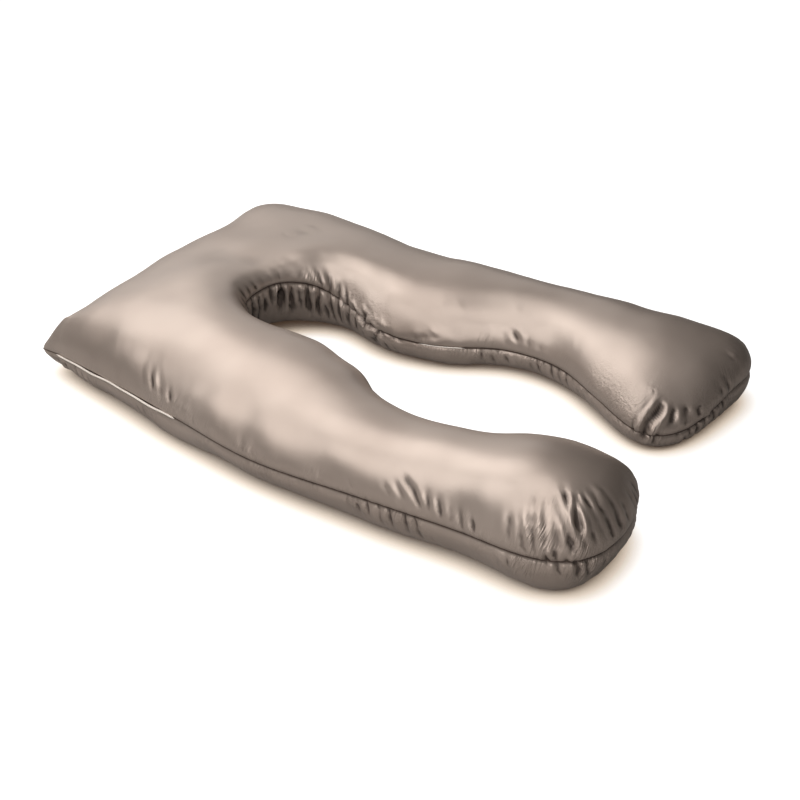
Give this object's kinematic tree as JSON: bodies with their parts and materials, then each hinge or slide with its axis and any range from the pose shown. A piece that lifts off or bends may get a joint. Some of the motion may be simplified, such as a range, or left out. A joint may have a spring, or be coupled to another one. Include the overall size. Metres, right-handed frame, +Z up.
{
  "type": "u-shaped body pillow",
  "caption": "U-shaped full-length body pillow in a satin cover: a deep head end joins two long arms with contoured inner sides and rounded feet.",
  "frame": {"origin": "on the surface the pillow lies on, under the middle of its outline", "axes": "+Z up, +Y towards the closed head end, -X towards the arm whose outer seam has the opening's lip"},
  "size_m": [0.9972, 1.5114, 0.2414],
  "materials": {
    "satin": "glossy taupe satin over soft filling, gathered along the seam",
    "lip_satin": "folded satin edge, paler where it catches the light"
  },
  "bodies": {
    "root": {"pillow": "satin", "opening_lip": "lip_satin", "inner_lip": "lip_satin"}
  },
  "joints": []
}
